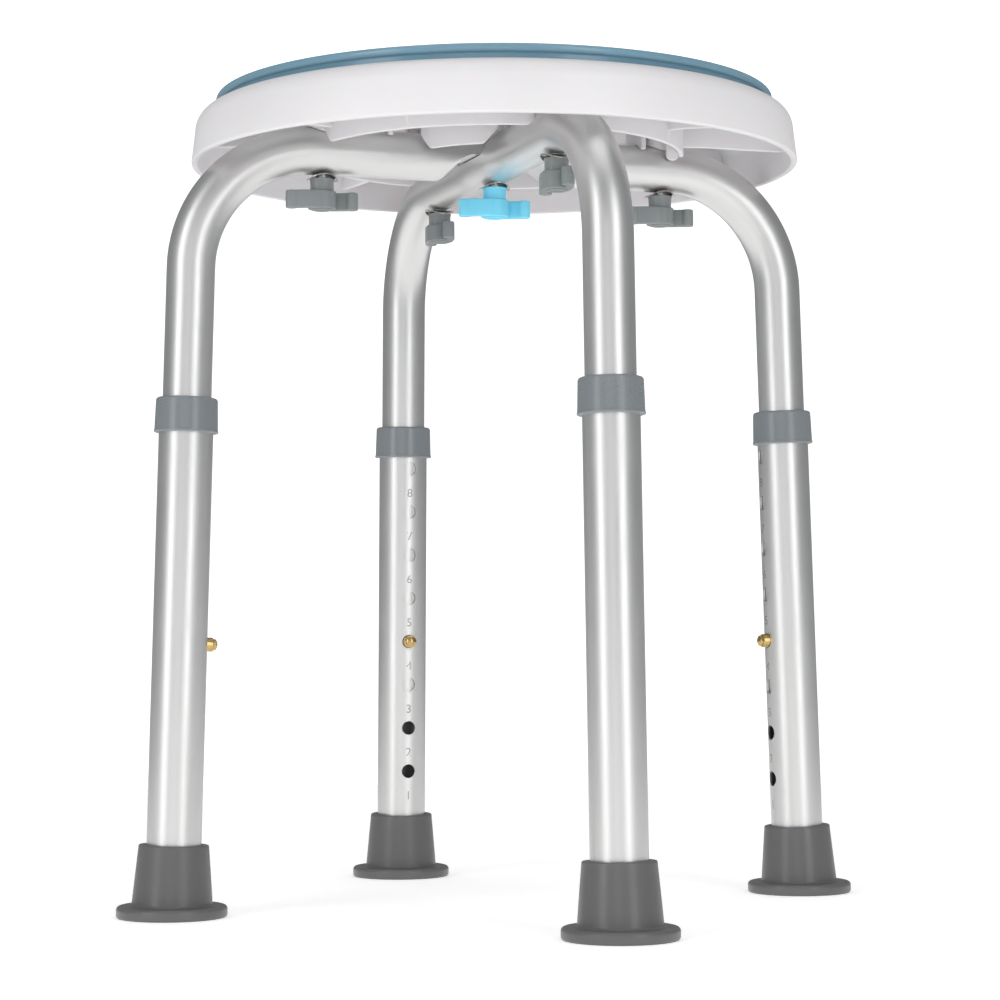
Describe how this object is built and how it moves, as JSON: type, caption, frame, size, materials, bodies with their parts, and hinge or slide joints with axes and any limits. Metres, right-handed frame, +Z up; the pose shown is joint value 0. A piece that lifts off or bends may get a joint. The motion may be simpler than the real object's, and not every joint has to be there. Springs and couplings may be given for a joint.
{
  "type": "shower stool",
  "caption": "Round shower stool with a swivel seat on a ribbed base, crossed bent-tube frame, wing-knob clamps and snap-button height-adjustable legs on rubber feet.",
  "frame": {"origin": "on the floor, on the stool's vertical axis", "axes": "+Z up; one tube arch runs along X, the other along Y"},
  "size_m": [0.4088, 0.4088, 0.4295],
  "materials": {
    "seat_blue": "glossy moulded polypropylene, blue-grey",
    "base_white": "semi-gloss moulded white polypropylene",
    "satin_aluminium": "satin anodised tube",
    "collar_grey": "satin moulded grey plastic",
    "knob_grey": "satin moulded grey plastic",
    "knob_blue": "satin moulded sky-blue plastic",
    "foot_rubber": "matte moulded grey rubber",
    "button_brass": "turned brass, dull polish",
    "spring_steel": "bright spring steel",
    "zinc_steel": "zinc-plated steel",
    "bearing_steel": "polished ball steel",
    "acetal": "natural acetal"
  },
  "bodies": {
    "base": {"seat_base": "base_white", "captive_nuts": "zinc_steel", "arch_tube_x": "satin_aluminium", "arch_tube_y": "satin_aluminium", "spring_washers": "spring_steel", "pivot_plate": "zinc_steel", "pivot_screws": "zinc_steel", "spring_clip_right": "spring_steel", "spring_clip_back": "spring_steel", "spring_clip_left": "spring_steel", "spring_clip_front": "spring_steel"},
    "seat": {"seat_disc": "seat_blue", "seat_cap": "seat_blue"},
    "ball_ring": {"bearing_cage": "acetal", "bearing_balls": "bearing_steel"},
    "leg_right": {"leg_tube_right": "satin_aluminium", "collar_right": "collar_grey", "foot_right": "foot_rubber", "foot_washer_right": "zinc_steel"},
    "leg_back": {"leg_tube_back": "satin_aluminium", "collar_back": "collar_grey", "foot_back": "foot_rubber", "foot_washer_back": "zinc_steel"},
    "leg_left": {"leg_tube_left": "satin_aluminium", "collar_left": "collar_grey", "foot_left": "foot_rubber", "foot_washer_left": "zinc_steel"},
    "leg_front": {"leg_tube_front": "satin_aluminium", "collar_front": "collar_grey", "foot_front": "foot_rubber", "foot_washer_front": "zinc_steel"},
    "button_right": {"button_right": "button_brass"},
    "button_back": {"button_back": "button_brass"},
    "button_left": {"button_left": "button_brass"},
    "button_front": {"button_front": "button_brass"},
    "knob_right": {"knob_right": "knob_grey", "stud_right": "zinc_steel"},
    "knob_back": {"knob_back": "knob_grey", "stud_back": "zinc_steel"},
    "knob_left": {"knob_left": "knob_grey", "stud_left": "zinc_steel"},
    "knob_front": {"knob_front": "knob_grey", "stud_front": "zinc_steel"},
    "knob_centre": {"knob_centre": "knob_blue", "stud_centre": "zinc_steel"}
  },
  "joints": [
    {"name": "seat_swivel", "type": "hinge", "parent": "base", "child": "seat", "pos_m": [0, 0, 0.4225], "axis": [0, 0, 1], "continuous": true},
    {"name": "ball_ring_orbit", "type": "hinge", "parent": "base", "child": "ball_ring", "pos_m": [0, 0, 0.4225], "axis": [0, 0, 1], "continuous": true},
    {"name": "height_right", "type": "slide", "parent": "base", "child": "leg_right", "axis": [0.0297, 0, -0.9996], "range_m": [-0.0762, 0.1016], "deforming": ["button_right", "spring_clip_right"]},
    {"name": "height_back", "type": "slide", "parent": "base", "child": "leg_back", "axis": [0, 0.0297, -0.9996], "range_m": [-0.0762, 0.1016], "deforming": ["button_back", "spring_clip_back"]},
    {"name": "height_left", "type": "slide", "parent": "base", "child": "leg_left", "axis": [-0.0297, 0, -0.9996], "range_m": [-0.0762, 0.1016], "deforming": ["button_left", "spring_clip_left"]},
    {"name": "height_front", "type": "slide", "parent": "base", "child": "leg_front", "axis": [0, -0.0297, -0.9996], "range_m": [-0.0762, 0.1016], "deforming": ["button_front", "spring_clip_front"]},
    {"name": "press_right", "type": "slide", "parent": "base", "child": "button_right", "axis": [0.9996, 0, 0.0297], "range_m": [0, 0.007], "stiffness_N_per_m": 2500, "springref_m": -0.003, "deforming": ["spring_clip_right"]},
    {"name": "press_back", "type": "slide", "parent": "base", "child": "button_back", "axis": [0, 0.9996, 0.0297], "range_m": [0, 0.007], "stiffness_N_per_m": 2500, "springref_m": -0.003, "deforming": ["spring_clip_back"]},
    {"name": "press_left", "type": "slide", "parent": "base", "child": "button_left", "axis": [-0.9996, 0, 0.0297], "range_m": [0, 0.007], "stiffness_N_per_m": 2500, "springref_m": -0.003, "deforming": ["spring_clip_left"]},
    {"name": "press_front", "type": "slide", "parent": "base", "child": "button_front", "axis": [0, -0.9996, 0.0297], "range_m": [0, 0.007], "stiffness_N_per_m": 2500, "springref_m": -0.003, "deforming": ["spring_clip_front"]},
    {"name": "turn_right", "type": "hinge", "parent": "base", "child": "knob_right", "pos_m": [0.09604, 0, 0.375], "axis": [0, 0, 1], "continuous": true},
    {"name": "turn_back", "type": "hinge", "parent": "base", "child": "knob_back", "pos_m": [0, 0.09604, 0.375], "axis": [0, 0, 1], "continuous": true},
    {"name": "turn_left", "type": "hinge", "parent": "base", "child": "knob_left", "pos_m": [-0.09604, 0, 0.375], "axis": [0, 0, 1], "continuous": true},
    {"name": "turn_front", "type": "hinge", "parent": "base", "child": "knob_front", "pos_m": [0, -0.09604, 0.375], "axis": [0, 0, 1], "continuous": true},
    {"name": "turn_centre", "type": "hinge", "parent": "base", "child": "knob_centre", "pos_m": [0, 0, 0.375], "axis": [0, 0, 1], "continuous": true}
  ],
  "couplings": [
    {"joint": "ball_ring_orbit", "follows": "seat_swivel", "ratio": 0.5}
  ]
}
